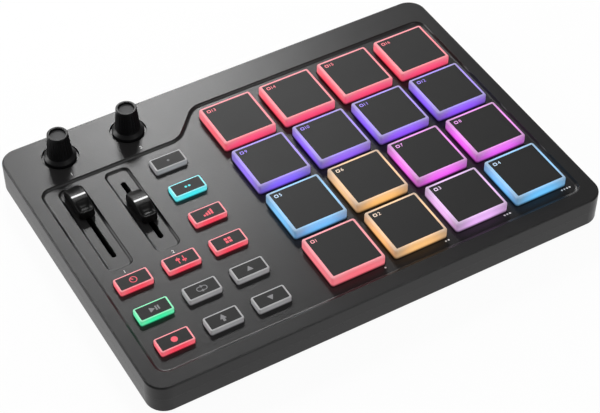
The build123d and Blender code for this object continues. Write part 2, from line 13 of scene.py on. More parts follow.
import bpy
import numpy as np
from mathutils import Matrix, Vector


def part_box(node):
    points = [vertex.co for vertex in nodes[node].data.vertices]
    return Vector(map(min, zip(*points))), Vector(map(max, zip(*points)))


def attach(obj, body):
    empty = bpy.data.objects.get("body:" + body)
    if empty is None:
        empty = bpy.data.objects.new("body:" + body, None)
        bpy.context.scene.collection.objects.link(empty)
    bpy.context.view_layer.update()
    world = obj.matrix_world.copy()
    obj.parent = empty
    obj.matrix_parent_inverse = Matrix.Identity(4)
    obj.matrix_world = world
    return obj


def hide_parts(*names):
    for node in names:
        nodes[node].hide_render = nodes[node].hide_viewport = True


MM = 0.001
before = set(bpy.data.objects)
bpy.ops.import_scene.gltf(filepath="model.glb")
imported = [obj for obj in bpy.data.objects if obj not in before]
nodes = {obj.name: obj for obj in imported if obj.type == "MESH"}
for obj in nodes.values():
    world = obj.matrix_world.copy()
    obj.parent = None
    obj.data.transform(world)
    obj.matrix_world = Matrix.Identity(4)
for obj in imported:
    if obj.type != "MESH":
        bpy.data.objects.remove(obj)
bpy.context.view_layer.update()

# %% [markdown]
# ## The camera
#
# A product picture like this one is taken from well above with a long lens, so that the far pads
# look almost as large as the near ones. A camera can be pushed about by eye until it seems right.
# Here it is set from five values instead: the point that the middle of the picture shows, the two
# angles of the view, the distance and the lens. The angles use the same convention as the other
# views of the object: azimuth 0 looks along +Y.

# %% Camera
AIM = Vector((-11.5, -22.1, 20.7)) * MM
VIEW_AZIMUTH = math.radians(-30.04)
VIEW_ELEVATION = math.radians(45.93)
VIEW_DISTANCE = 998.8 * MM
LENS = 107.26

lens = bpy.data.cameras.new("camera")
lens.lens = LENS
camera = bpy.data.objects.new("camera", lens)
bpy.context.scene.collection.objects.link(camera)
towards_camera = Vector((
    math.sin(VIEW_AZIMUTH) * math.cos(VIEW_ELEVATION),
    -math.cos(VIEW_AZIMUTH) * math.cos(VIEW_ELEVATION),
    math.sin(VIEW_ELEVATION),
))
camera.location = AIM + towards_camera * VIEW_DISTANCE
camera.rotation_mode = "QUATERNION"
camera.rotation_quaternion = (-towards_camera).to_track_quat("-Z", "Y")
bpy.context.scene.camera = camera
bpy.context.scene.view_settings.view_transform = "Standard"
print("camera at", [round(value, 4) for value in camera.location])

# %% [markdown]
# ## Shader maths as Python
#
# A finish is a small sum: so much base colour, so much grain, a little less gloss here. In the node
# editor such a sum is a web of boxes. One class that wraps a socket lets it be written as an
# expression instead: every operator adds the Math node that it stands for, and one method adds any
# other node.

# %% Signals
class Signal:
    """An output socket in a shader tree.

    Operators on it add Math nodes, and node() adds any other node.
    """

    def __init__(self, tree, socket):
        self.tree = tree
        self.socket = socket

    def node(self, kind, settings=(), sockets=(), out=0):
        """Adds a node of one type: first its settings, then a value or a link for each socket."""
        made = self.tree.nodes.new(kind)
        for name, value in dict(settings).items():
            setattr(made, name, value)
        for name, value in dict(sockets).items():
            if isinstance(value, Signal):
                self.tree.links.new(value.socket, made.inputs[name])
            else:
                made.inputs[name].default_value = value
        return Signal(self.tree, made.outputs[out]) if made.outputs else None

    def outputs(self):
        """Every output of the node behind this signal."""
        return [Signal(self.tree, socket) for socket in self.socket.node.outputs]

    def math(self, operation, *others):
        """Math node on this signal and up to two more values."""
        return self.node("ShaderNodeMath", {"operation": operation}, enumerate((self, *others)))

    def __add__(self, other):
        return self.math("ADD", other)

    def __sub__(self, other):
        return self.math("SUBTRACT", other)

    def __rsub__(self, other):
        return self.node("ShaderNodeMath", {"operation": "SUBTRACT"}, {0: other, 1: self})

    def __mul__(self, other):
        return self.math("MULTIPLY", other)

    def __truediv__(self, other):
        return self.math("DIVIDE", other)

    def __abs__(self):
        return self.math("ABSOLUTE")

    __radd__ = __add__
    __rmul__ = __mul__

    def axes(self):
        """The X, Y and Z of this signal's coordinates."""
        return self.node("ShaderNodeSeparateXYZ", {}, {"Vector": self}).outputs()

    def wrapped(self, first, pitch):
        """Way from the nearest place in a row that holds first and repeats by a pitch."""
        return (self - first).math("WRAP", pitch / 2, -pitch / 2)

    def rise(self, low, high):
        """0 below low, 1 above high, and a smooth step between them."""
        return self.node("ShaderNodeMapRange", {"interpolation_type": "SMOOTHSTEP"},
                         {"Value": self, "From Min": low, "From Max": high})

    def blend(self, first, second):
        """Colour that is the first where this signal is 0 and the second where it is 1."""
        return self.node("ShaderNodeMix", {"data_type": "RGBA"},
                         {0: self, 6: first, 7: second}, out=2)

    def noise(self, grain, detail=2.0):
        """Noise on this signal's coordinates, whose lumps are about one grain, in metres, across."""
        return self.node("ShaderNodeTexNoise", {},
                         {"Vector": self, "Scale": 1 / grain, "Detail": detail})


print("reflected operators:", [name for name in vars(Signal) if name.startswith("__r")])

# %% [markdown]
# Colours are written as on a paint chart, from 0 to 255. Blender works with linear light, so one
# function turns the one into the other.

# %% Colours
def opaque(colour):
    """Linear colour with full alpha."""
    return (*colour, 1.0)


def srgb(red, green, blue):
    """Chart colour in linear values: a power of 2.4, with a straight part near black."""
    chart = np.array([red, green, blue]) / 255
    linear = np.where(chart <= 0.04045, chart / 12.92, ((chart + 0.055) / 1.055) ** 2.4)
    return opaque(linear.tolist())


def grey(tone):
    """Neutral chart colour."""
    return srgb(tone, tone, tone)


print("mid grey is", [round(value, 3) for value in grey(128)])

# %% [markdown]
# ## Helpers for every finish
#
# Each material starts with the Object coordinates, which are the CAD frame itself because every
# piece sits unturned at the origin. A pattern then has its real size, and a mask can be written in
# millimetres. Each one ends in the Principled shader.

# %% Starting, closing and using a finish
FINE_DETAIL = 3.0
BEVEL_SAMPLES = 6


def start_finish(name):
    """A new material, and the signal of its Object coordinates."""
    finish = bpy.data.materials.new(name)
    finish.use_nodes = True
    finish.node_tree.nodes.clear()
    coordinates = finish.node_tree.nodes.new("ShaderNodeTexCoord")
    return finish, Signal(finish.node_tree, coordinates.outputs["Object"])


def close_finish(place, sockets):
    """Principled shader with those sockets, as the surface of the material."""
    shader = place.node("ShaderNodeBsdfPrincipled", {}, sockets)
    place.node("ShaderNodeOutputMaterial", {}, {"Surface": shader})


def bump(place, height, depth, eased=0.0):
    """Normal of a surface whose height signal, from 0 to 1, stands for that depth in metres.

    Sharp edges may also be eased: the shading turns smoothly over a radius, as on a moulding that
    has been handled.
    """
    sockets = {"Height": height, "Distance": depth, "Strength": 1.0}
    if eased:
        sockets["Normal"] = place.node("ShaderNodeBevel", {"samples": BEVEL_SAMPLES},
                                       {"Radius": eased})
    return place.node("ShaderNodeBump", {}, sockets)


def dress(finish, *names):
    """Puts a finish on every material slot of these CAD nodes."""
    for name in names:
        for material_slot in nodes[name].material_slots:
            material_slot.material = finish


print("material slots to dress:", sum(len(nodes[name].material_slots) for name in nodes))

# %% [markdown]
# ## The case
#
# Both halves are injection moulded in dark grey plastic. The mould is spark eroded, so the skin has
# a fine even grain that breaks up reflections: a lamp shows as a broad soft sheen instead of a
# mirror image. A single grey would look like paper, so the colour drifts a little, the roughness
# follows the grain, and a bump gives the grain its depth. The cut walls of the two fader slots get
# painted shade: a mask paints them near black and dull, as deep narrow slots look in shadow.

# %% Fader slots
CASE_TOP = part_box("top_case")[1].z
CHANNEL_DROP = 2.4 * MM
CHANNEL_Z = CASE_TOP - CHANNEL_DROP
SLOT_REACH = 2.3 * MM
SLOT_HALF_LENGTH = 27 * MM
SLOT_EDGE = (0.25 * MM, 0.1 * MM)


def middle_of(name):
    """Middle of a CAD node's box."""
    low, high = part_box(name)
    return (low + high) / 2


def slot_walls(place):
    """1 on the walls of the fader slots, which get painted shade.

    They lie near the middle line of a fader track and below the floor of its channel.
    """
    x, y, z = place.axes()
    left, right = middle_of("fader_track_left"), middle_of("fader_track_right")
    aside = abs(x - left.x).math("MINIMUM", abs(x - right.x))
    near_line = aside.math("LESS_THAN", SLOT_REACH)
    near_middle = abs(y - left.y).math("LESS_THAN", SLOT_HALF_LENGTH)
    above_floor = z.rise(CHANNEL_Z - SLOT_EDGE[0], CHANNEL_Z - SLOT_EDGE[1])
    return near_line * near_middle * (1 - above_floor)


print("channel floors at", round(CHANNEL_Z / MM, 2), "mm")

# %% Moulded case plastic
GRAIN = 0.8 * MM
GRAIN_DEPTH = 0.03 * MM
DRIFT = 60 * MM
EASED_EDGE = 0.3 * MM
CASE_SHADES = (0.9, 1.12)
# Painted shade on the fader slot walls: a near black base colour and a dull finish.
SLOT_SHADE_TONE = 5
SLOT_ROUGHNESS = 0.9


def moulded_plastic(name, tone, roughness, specular):
    """Fine grained dark plastic of a tone."""
    finish, place = start_finish(name)
    slot = slot_walls(place)
    grain = place.noise(GRAIN, FINE_DETAIL)
    drift = place.noise(DRIFT)
    dark, light = (srgb(*(value * share for value in tone)) for share in CASE_SHADES)
    skin = (0.7 * grain + 0.3 * drift).blend(dark, light)
    skin_roughness = roughness + 0.10 * (grain - 0.5) + 0.04 * (drift - 0.5)
    close_finish(place, {
        # Painted shade: near black on the walls of the fader slots.
        "Base Color": slot.blend(skin, grey(SLOT_SHADE_TONE)),
        "Roughness": skin_roughness + (SLOT_ROUGHNESS - roughness) * slot,
        "Specular IOR Level": specular,
        "Normal": bump(place, grain, GRAIN_DEPTH, EASED_EDGE),
    })
    return finish


top_plastic = moulded_plastic("case_top_plastic", (30, 29.5, 30), roughness=0.31, specular=0.25)
bottom_plastic = moulded_plastic("case_bottom_plastic", (31, 30.5, 31), roughness=0.30, specular=0.25)
dress(top_plastic, "top_case")
dress(bottom_plastic, "bottom_case")
print("case plastic has", len(top_plastic.node_tree.nodes), "shader nodes")

# %% [markdown]
# ## Lit rubber
#
# Pads and keys are cast in milky silicone rubber over coloured lamps. Two things add up on such a
# block. The milky body reflects the room's white light, most on its upper border and on the side
# that faces a lamp of the room. The glow from inside adds its own colour: full in the middle of
# each side wall, weaker at the corners, where the light has further to go, and weaker again near
# the top. The foot, in the window of the panel, is painted near black: painted shade where the gap
# round the block and its shadow fall.
#
# All pads stand on one square grid, and all keys on another. So one sum serves them all: the
# coordinates are wrapped by the pitch of the grid, which gives each block its own middle, and the
# masks are written from there.

# %% Lit rubber finish
PANEL_DROP = 1.2 * MM
PANEL_Z = CASE_TOP - PANEL_DROP
MILK = 0.36
THIN_MILK = 0.9
MILK_TINTS = (0.03, 0.05)
FULL_GLOW = 0.88
TOP_FADE = 0.20
CORNER_ZONE = (0.2, 1.1)
FRONT_ZONE = (-0.99, -0.94)
TOP_ZONE = (0.4, 1.0)
RUBBER_CLOUD = 3.0 * MM
RUBBER_GRAIN = 0.6 * MM
FINE_DEPTH = 0.006 * MM


def lit_rubber(name, glow, corner_glow, front_shade, first, pitch, half, top, foot):
    """Milky rubber lit from inside by a lamp of the glow colour.

    The blocks stand on a grid: first is the middle of one, pitch the grid's steps, half a block's
    half sides and top its upper face. corner_glow is the share of the glow that reaches the
    corners. The front shade share is how far the rubber takes on the glow's colour, in place of
    white milk, in the middle of its front wall: painted shade, as less room light reaches the front
    walls. foot is the pair of heights above the panel between which the painted shade at the foot
    turns into lit rubber.
    """
    finish, place = start_finish(name)
    x, y, z = place.axes()
    across = abs(x.wrapped(first.x, pitch[0])) / half[0]
    backwards = y.wrapped(first.y, pitch[1]) / half[1]
    near_corner = across.math("MINIMUM", abs(backwards)).rise(*CORNER_ZONE)
    front_wall = 1 - backwards.rise(*FRONT_ZONE)
    near_top = ((z - PANEL_Z) / (top - PANEL_Z)).rise(*TOP_ZONE)
    above_foot_shade = (z - PANEL_Z).rise(*foot)
    cloud = place.noise(RUBBER_CLOUD)
    spread = (1 - (1 - corner_glow) * near_corner) * (1 - TOP_FADE * near_top)
    level = spread * above_foot_shade * (0.95 + 0.1 * cloud)
    colour = np.array(srgb(*glow)[:3])
    thin = opaque(THIN_MILK * MILK + MILK_TINTS[0] * colour)
    thick = opaque(MILK + MILK_TINTS[1] * colour)
    # Painted shade: in the middle of the front walls the white milk gives way to the glow's own colour,
    # as less room light reaches there.
    tint = front_shade * front_wall * (1 - near_corner)
    milk = tint.blend(cloud.blend(thin, thick), opaque(MILK * colour))
    close_finish(place, {
        # Painted shade: a near black base colour at the foot, where the gap round the block and its
        # shadow fall.
        "Base Color": above_foot_shade.blend(srgb(14, 14, 15), milk),
        "Emission Color": level.blend(grey(0), opaque(FULL_GLOW * colour)),
        "Emission Strength": 1.0,
        "Roughness": 0.48 + 0.1 * (cloud - 0.5),
        "Specular IOR Level": 0.3,
        "Normal": bump(place, place.noise(RUBBER_GRAIN), FINE_DEPTH),
    })
    return finish


print("panel at", round(PANEL_Z / MM, 2), "mm")

# %% [markdown]
# The lamps of the sixteen pads are set to a pattern of colours, and each colour has its slot in the
# record. The keys are lit in the same way; a key that is off still glows a weak grey: painted light
# that gives its unlit rubber its grey.

# %% Colours of pads and keys
PAD_GLOWS = {
    "pad_red": (255, 43, 81),
    "pad_violet": (124, 64, 250),
    "pad_blue": (74, 188, 254),
    "pad_peach": (252, 186, 99),
    "pad_magenta": (241, 69, 242),
    "pad_lilac": (235, 171, 251),
    "pad_coral": (250, 82, 104),
}
FRONT_COLOURS = ["coral", "peach", "lilac", "blue", "blue", "peach", "magenta", "magenta"]
PAD_COLOURS = FRONT_COLOURS + ["violet"] * 4 + ["red"] * 4
KEY_GLOWS = {
    "key_red": (252, 48, 80),
    "key_cyan": (40, 240, 248),
    "key_green": (14, 242, 164),
    # The grey of keys that are off is painted light: a weak grey glow, though their lamps are dark.
    "key_grey": (112, 111, 114),
}
KEY_COLOURS = {
    "record_button": "red",
    "play_button": "green",
    "knob_bank_button": "red",
    "shift_button": "grey",
    "note_repeat_button": "grey",
    "fader_bank_button": "red",
    "down_button": "grey",
    "up_button": "grey",
    "pad_bank_button": "red",
    "full_level_button": "red",
    "bank_b_button": "cyan",
    "bank_a_button": "grey",
}
pad_names = [f"pad_{number:02d}" for number in range(1, 17)]
pad_slots = {name: "pad_" + colour for name, colour in zip(pad_names, PAD_COLOURS)}
key_slots = {name: "key_" + colour for name, colour in KEY_COLOURS.items()}
print("slots:", sorted(set(pad_slots.values()) | set(key_slots.values())))

# %% [markdown]
# The two grids are measured on the CAD model: a pitch is the distance between the middles of two
# neighbours. Red light carries further in the rubber, so the corners of the red pads are brighter
# than those of the others. Keys are small, so the light of any colour fills them.

# %% Pads and keys
PAD_HALF = 33.8 / 2 * MM
KEY_HALF = (20.0 / 2 * MM, 10.4 / 2 * MM)
# Heights over which the painted shade at the foot of pads and keys gives way to lit rubber.
PAD_FOOT_SHADE = (-0.3 * MM, 2.2 * MM)
KEY_FOOT_SHADE = (-0.9 * MM, 1.1 * MM)
BRIGHT_CORNER = 0.8
DIM_CORNER = 0.38
# Shares of painted shade in the middle of the front walls of pads and keys: less white milk there.
PAD_FRONT_SHADE = 0.3
KEY_FRONT_SHADE = 0.7


def pitch_between(first, second):
    """Distance between the middles of two nodes."""
    return (middle_of(second) - middle_of(first)).length


pad_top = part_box("pad_01")[1].z
key_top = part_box("record_button")[1].z
pad_pitch = pitch_between("pad_01", "pad_02")
key_pitch = (pitch_between("record_button", "shift_button"),
             pitch_between("record_button", "play_button"))

for slot_name, glow in PAD_GLOWS.items():
    corner_glow = BRIGHT_CORNER if slot_name in ("pad_red", "pad_coral") else DIM_CORNER
    rubber = lit_rubber(slot_name + "_rubber", glow, corner_glow, PAD_FRONT_SHADE, middle_of("pad_01"),
                        (pad_pitch, pad_pitch), (PAD_HALF, PAD_HALF), pad_top, PAD_FOOT_SHADE)
    dress(rubber, *[name for name in pad_names if pad_slots[name] == slot_name])
for slot_name, glow in KEY_GLOWS.items():
    front_shade = 0.0 if slot_name == "key_grey" else KEY_FRONT_SHADE
    rubber = lit_rubber(slot_name + "_rubber", glow, BRIGHT_CORNER, front_shade,
                        middle_of("record_button"), key_pitch, KEY_HALF, key_top, KEY_FOOT_SHADE)
    dress(rubber, *[name for name in key_slots if key_slots[name] == slot_name])
print("pad pitch", round(pad_pitch / MM, 2),
      "key pitches", [round(step / MM, 2) for step in key_pitch])

# %% [markdown]
# ## Knobs, fader caps and feet
#
# The knobs and fader caps are black plastic, a little glossier than the case because fingers polish
# them. A knob's dished top has a finer, greyer texture than its grip, so a mask by height and
# distance from the knob's axis sets it apart. The feet are dull rubber.

# %% Black control plastic
CONTROL_GRAIN = 0.35 * MM
CONTROL_CLOUD = 5 * MM


def control_plastic(name, tone, roughness, specular=0.3):
    """Black satin plastic with a faint grain."""
    finish, place = start_finish(name)
    grain = place.noise(CONTROL_GRAIN, FINE_DETAIL)
    cloud = place.noise(CONTROL_CLOUD)
    close_finish(place, {
        "Base Color": (0.5 * grain + 0.5 * cloud).blend(grey(0.88 * tone), grey(1.15 * tone)),
        "Roughness": roughness + 0.12 * (grain - 0.5) + 0.06 * (cloud - 0.5),
        "Specular IOR Level": specular,
        "Normal": bump(place, grain, FINE_DEPTH),
    })
    return finish


cap_plastic = control_plastic("fader_cap_plastic", 17, roughness=0.34, specular=0.17)
dress(cap_plastic, "fader_cap_left", "fader_cap_right")
dress(control_plastic("foot_rubber", 26, roughness=0.85), "feet")
print("fader caps and feet dressed")

# %% Knobs
KNOB_DISH_RADIUS = 4.4 * MM
KNOB_DISH_REACH = 1.7 * MM
KNOB_DISH_SHARP = 0.98
KNOB_GRAIN = 0.4 * MM
KNOB_GRAIN_DEPTH = 0.008 * MM


def knob_plastic(name):
    """Black grip with a grey grained disc in the dish of its top."""
    finish, place = start_finish(name)
    first = middle_of("knob_left")
    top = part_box("knob_left")[1].z
    x, y, z = place.axes()
    across = x.wrapped(first.x, pitch_between("knob_left", "knob_right"))
    along = y - first.y
    radius = (across * across + along * along).math("SQRT")
    near_axis = 1 - radius.rise(KNOB_DISH_RADIUS * KNOB_DISH_SHARP, KNOB_DISH_RADIUS)
    dish = near_axis * z.math("GREATER_THAN", top - KNOB_DISH_REACH)
    grain = place.noise(KNOB_GRAIN, FINE_DETAIL)
    grip_colour = grain.blend(srgb(12, 12, 13), srgb(18, 18, 19))
    dish_colour = grain.blend(srgb(68, 68, 69), srgb(82, 82, 83))
    close_finish(place, {
        "Base Color": dish.blend(grip_colour, dish_colour),
        "Roughness": 0.36 + 0.16 * dish + 0.1 * (grain - 0.5),
        "Specular IOR Level": 0.2,
        "Normal": bump(place, grain, KNOB_GRAIN_DEPTH),
    })
    return finish


dress(knob_plastic("knob_plastic"), "knob_left", "knob_right")
print("knobs are", round(pitch_between("knob_left", "knob_right") / MM, 2), "mm apart")

# %% [markdown]
# ## What is inside
#
# Nobody sees the boards, screws and sensors while the case is shut, but the part is shared as an
# assembly, so they get plain finishes with a little life: solder mask with tracks under it, turned
# steel, moulded black plastic.

# %% Finishes for boards, metal and lamps
TRACK_STEP = 4 * MM
TRACK_EDGE = (0.05, 0.09)
TRACK_DEPTH = 0.03 * MM
DRAWN_LINE = 0.2 * MM
DRAWN_DEPTH = 0.004 * MM


def solder_mask(name):
    """Green board lacquer: raised copper tracks are the borders of a cell pattern."""
    finish, place = start_finish(name)
    cells = place.node("ShaderNodeTexVoronoi", {"feature": "DISTANCE_TO_EDGE"},
                       {"Vector": place, "Scale": 1 / TRACK_STEP})
    track = 1 - cells.rise(*TRACK_EDGE)
    cloud = place.noise(8 * MM)
    lacquer = cloud.blend(srgb(14, 58, 34), srgb(18, 70, 40))
    close_finish(place, {
        "Base Color": track.blend(lacquer, srgb(40, 110, 62)),
        "Roughness": 0.3 + 0.1 * cloud,
        "Normal": bump(place, track, TRACK_DEPTH),
    })
    return finish


def bright_metal(name, tone, roughness, stretch):
    """Metal with fine drawing lines: noise that is stretched along one axis."""
    finish, place = start_finish(name)
    drawn = place.node("ShaderNodeMapping", {}, {"Vector": place, "Scale": stretch})
    lines = drawn.noise(DRAWN_LINE, FINE_DETAIL)
    close_finish(place, {
        "Base Color": lines.blend(grey(0.9 * tone), grey(1.05 * tone)),
        "Metallic": 1.0,
        "Roughness": roughness + 0.2 * (lines - 0.5),
        "Normal": bump(place, lines, DRAWN_DEPTH),
    })
    return finish


def lamp_resin(name):
    """Clear yellowish lamp bodies."""
    finish, place = start_finish(name)
    cloud = place.noise(1 * MM)
    close_finish(place, {
        "Base Color": cloud.blend(srgb(228, 222, 190), srgb(244, 240, 216)),
        "Roughness": 0.2 + 0.15 * cloud,
    })
    return finish


dress(solder_mask("solder_mask"), "control_board", "pad_board")
dress(lamp_resin("lamp_resin"), "pad_leds", "button_leds")
print("boards and lamps dressed")

# %% Inner pieces
ALONG_Z = (1.0, 1.0, 0.05)
ALONG_Y = (1.0, 0.05, 1.0)
dress(bright_metal("plated_steel", 200, roughness=0.3, stretch=ALONG_Y),
      "usb_port", "knob_pot_left", "knob_pot_right")
dress(bright_metal("screw_steel", 150, roughness=0.38, stretch=ALONG_Z),
      "case_screws", "control_board_screws", "pad_board_screws")
dress(bright_metal("shaft_steel", 190, roughness=0.28, stretch=ALONG_Z),
      "knob_shaft_left", "knob_shaft_right")
dress(control_plastic("fader_track_plastic", 7, roughness=0.8, specular=0.1),
      "fader_track_left", "fader_track_right", "fader_lever_left", "fader_lever_right")
dress(control_plastic("black_part_plastic", 28, roughness=0.5),
      "board_header", "controller_chip", "usb_tongue")
dress(control_plastic("sensor_film", 20, roughness=0.4), "pad_sensors")
print("finishes so far:", sum(finish.users > 0 for finish in bpy.data.materials))

# %% [markdown]
# ## Thin prints as closed plates
#
# The black faces, the symbols and the marks are layers of paint a few hundredths of a millimetre
# thick. They could be painted by a mask in the material, but an edge that is cut in the mesh stays
# sharp at any distance. So each print is a thin closed plate. Its outline is a rounded polygon,
# written as one formula: for every direction, take the corner that reaches furthest that way, and
# add the rounding radius along the same direction.

# %% Plates
BEVEL_WIDTH = 0.15
BEVEL_DEPTH = 0.3


def soft_outline(corners, rounding, steps=48):
    """Rounded convex polygon.

    For each direction, it is the corner furthest along it plus the rounding along it.
    """
    turn = (np.arange(steps) + 0.5) / steps * 2 * np.pi
    direction = np.stack([np.cos(turn), np.sin(turn)], axis=1)
    corners = np.atleast_2d(np.array(corners, float))
    furthest = np.argmax(direction @ corners.T, axis=1)
    return corners[furthest] + rounding * direction


def ring_surface(rings, poles):
    """Closed surface: quads join each ring of points to the next, and fans close both ends.

    rings holds the rings from the lowest up. poles are the points where the two fans meet, under
    the first ring and over the last.
    """
    ring_count, count = rings.shape[:2]
    here = np.arange(count)
    after = np.roll(here, -1)
    quads = np.stack([here, after, after + count, here + count], axis=1)
    walls = np.concatenate([quads + ring * count for ring in range(ring_count - 1)])
    last = (ring_count - 1) * count
    pole = ring_count * count
    under = np.stack([after, here, np.full(count, pole)], axis=1)
    over = np.stack([here + last, after + last, np.full(count, pole + 1)], axis=1)
    points = np.concatenate([rings.reshape(-1, 3), poles])
    return points, walls.tolist() + under.tolist() + over.tolist()


def plate(outline, bottom, top):
    """Closed thin plate over a convex outline.

    Three rings run from its lower edge up its wall and in over a small bevel. Each one is the
    outline shrunk about its middle. The bevel's sizes are shares of half the thickness.
    """
    middle = outline.mean(axis=0)
    reach = np.abs(outline - middle).max()
    half_thick = (top - bottom) * 0.5
    shrink = np.array([1.0, 1.0, 1.0 - BEVEL_WIDTH * half_thick / reach])
    levels = np.array([bottom, top - half_thick * BEVEL_DEPTH, top])
    rings = middle + shrink[:, None, None] * (outline - middle)
    heights = np.broadcast_to(levels[:, None, None], (*rings.shape[:2], 1))
    poles = np.array([[*middle, bottom], [*middle, top]])
    return ring_surface(np.concatenate([rings, heights], axis=2), poles)


print("plate of", len(plate(soft_outline([(0, 0)], 1.0), 0.0, 1.0)[0]), "points")

# %% [markdown]
# A sign may also be a frame with a hole in it, and a print may have several shapes. Every finished
# shape becomes an object that rides on one of the bodies, so that it moves with its pad or key.

# %% Frames and pieces
def ring_band(outer, inner, bottom, top):
    """Closed frame between two outlines: a four-cornered profile carried round the path."""
    count = len(outer)
    profile = [(inner, bottom), (outer, bottom), (outer, top), (inner, top)]
    points = np.concatenate([np.column_stack([path, np.full(count, level)])
                             for path, level in profile])
    here = np.arange(count)
    after = np.roll(here, -1)
    sides = [np.stack([here + a * count, after + a * count, after + b * count, here + b * count], axis=1)
             for a, b in ((0, 1), (1, 2), (2, 3), (3, 0))]
    return points, np.concatenate(sides).tolist()


def joined(shapes):
    """Several shapes as one: their points in a row, with each one's faces counted on."""
    starts = np.cumsum([0] + [len(points) for points, faces in shapes])
    points = np.concatenate([points for points, faces in shapes])
    faces = [[int(corner + start) for corner in face]
             for start, (_, shape_faces) in zip(starts, shapes) for face in shape_faces]
    return points, faces


def add_piece(name, shape, body, finish):
    """Mesh object from points and faces, with its finish, riding on a body."""
    points, faces = shape
    mesh = bpy.data.meshes.new(name)
    mesh.from_pydata(points.tolist(), [], faces)
    mesh.materials.append(finish)
    piece = bpy.data.objects.new(name, mesh)
    bpy.context.scene.collection.objects.link(piece)
    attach(piece, body)
    return piece


circle = soft_outline([(0, 0)], 1.0)
print("frame of", len(ring_band(circle, circle / 2, 0.0, 1.0)[1]), "faces")

# %% [markdown]
# ## Black faces
#
# The top of every pad and key is coated black, except for a narrow border where the lit rubber
# shows. The coat is matt with a soft touch, so its grain is finer than the case's and its sheen
# lower.

# %% Black faces of pads and keys
COAT = 0.06 * MM
COAT_SUNK = 0.2 * MM
COAT_GRAIN = 0.3 * MM
COAT_CLOUD = 25 * MM
PAD_FACE = 30.4 / 2 * MM
KEY_FACE = (17.9 / 2 * MM, 8.5 / 2 * MM)
FACE_CORNER = 0.5 * MM


def black_coat(name):
    """Matt soft-touch coating."""
    finish, place = start_finish(name)
    grain = place.noise(COAT_GRAIN, FINE_DETAIL)
    cloud = place.noise(COAT_CLOUD)
    close_finish(place, {
        "Base Color": (0.6 * grain + 0.4 * cloud).blend(grey(23), grey(28)),
        "Roughness": 0.46 + 0.1 * (grain - 0.5) + 0.05 * (cloud - 0.5),
        "Specular IOR Level": 0.18,
        "Normal": bump(place, grain, FINE_DEPTH),
    })
    return finish


def rectangle(middle, half_x, half_y, rounding):
    """Outline of a rounded rectangle about a middle."""
    x, y = half_x - rounding, half_y - rounding
    corners = np.array([(-x, -y), (x, -y), (x, y), (-x, y)]) + np.array(middle)[:2]
    return soft_outline(corners, rounding)


coat = black_coat("black_face_coat")
for name in pad_names:
    outline = rectangle(middle_of(name), PAD_FACE, PAD_FACE, FACE_CORNER)
    face = plate(outline, pad_top - COAT_SUNK, pad_top + COAT)
    add_piece(name.replace("pad", "pad_face"), face, name, coat)
for name in key_slots:
    outline = rectangle(middle_of(name), *KEY_FACE, FACE_CORNER)
    face = plate(outline, key_top - COAT_SUNK, key_top + COAT)
    add_piece(name.replace("button", "face"), face, name, coat)
print("black faces:", len(pad_names), "pads and", len(key_slots), "keys")

# %% [markdown]
# ## Numbers on the pads
#
# Each pad carries a square sign and its number at the back left of its face, printed so that the
# lamp shines through. Such a print is the lamp's colour with a share of white, and a little uneven,
# as screen print is.

# %% Lit prints
PRINT_SPECK = 0.25 * MM
PRINT_BODY = (0.35, 0.45)
PRINT_DIM = 0.8
PAD_PRINT = 0.8
PAD_PRINT_WHITE = {"pad_red": 0.2, "pad_violet": 0.2, "pad_coral": 0.3, "pad_magenta": 0.35}
PALE_PRINT_WHITE = 0.55
KEY_PRINT = 0.62
KEY_PRINT_WHITE = 0.06


def lit_print(name, glow, strength, white):
    """Print that the lamp below shines through, mixed with a share of white."""
    finish, place = start_finish(name)
    specks = place.noise(PRINT_SPECK)
    colour = np.array(srgb(*glow)[:3]) * (1 - white) + white
    close_finish(place, {
        "Base Color": specks.blend(*(opaque(share * colour) for share in PRINT_BODY)),
        "Emission Color": specks.blend(opaque(PRINT_DIM * strength * colour),
                                       opaque(strength * colour)),
        "Emission Strength": 1.0,
        "Roughness": 0.4 + 0.2 * specks,
    })
    return finish


print_finishes = {}
for slot_name, glow in PAD_GLOWS.items():
    white = PAD_PRINT_WHITE.get(slot_name, PALE_PRINT_WHITE)
    print_finishes[slot_name] = lit_print(slot_name + "_print", glow, PAD_PRINT, white)
# The grey prints glow as well: painted light, since the lamps of the grey keys are off.
for slot_name, glow in KEY_GLOWS.items():
    print_finishes[slot_name] = lit_print(slot_name + "_print", glow, KEY_PRINT, KEY_PRINT_WHITE)
print("print finishes:", len(print_finishes))

# %% [markdown]
# Text starts as a font curve. It is turned into a mesh first, and then its points are scaled and
# moved as one array, so that the finished piece sits at the origin like every other.

# %% Pad numbers
PRINT = 0.05 * MM
NUMBER_HEIGHT = 2.3 * MM
NUMBER_INSET = (1.8 * MM, 1.9 * MM)
SIGN_LINE = 0.45 * MM
SIGN_STEP = 3.1 * MM
SIGN_CORNER = 0.6 * MM
SIGN_INNER_CORNER = 0.15 * MM
FONT_DEPTH = 0.5
FONT_STEPS = 4


def number_shape(text, height, left, back, level):
    """Plain numerals as points and faces.

    The mesh of the font is scaled to a height and moved to have its back left corner at a place.
    """
    curve = bpy.data.curves.new("numerals", "FONT")
    curve.body = text
    curve.extrude = FONT_DEPTH
    curve.resolution_u = FONT_STEPS
    holder = bpy.data.objects.new("numerals", curve)
    bpy.context.scene.collection.objects.link(holder)
    bpy.context.view_layer.update()
    mesh = bpy.data.meshes.new_from_object(holder)
    points = np.empty(len(mesh.vertices) * 3)
    mesh.vertices.foreach_get("co", points)
    points = points.reshape(-1, 3)
    faces = [list(polygon.vertices) for polygon in mesh.polygons]
    low, high = points.min(axis=0), points.max(axis=0)
    scale = np.array([height / (high[1] - low[1])] * 2 + [2 * PRINT / (high[2] - low[2])])
    corner = np.array([low[0], high[1], (low[2] + high[2]) / 2])
    bpy.data.objects.remove(holder)
    bpy.data.curves.remove(curve)
    bpy.data.meshes.remove(mesh)
    return (points - corner) * scale + np.array([left, back, level]), faces


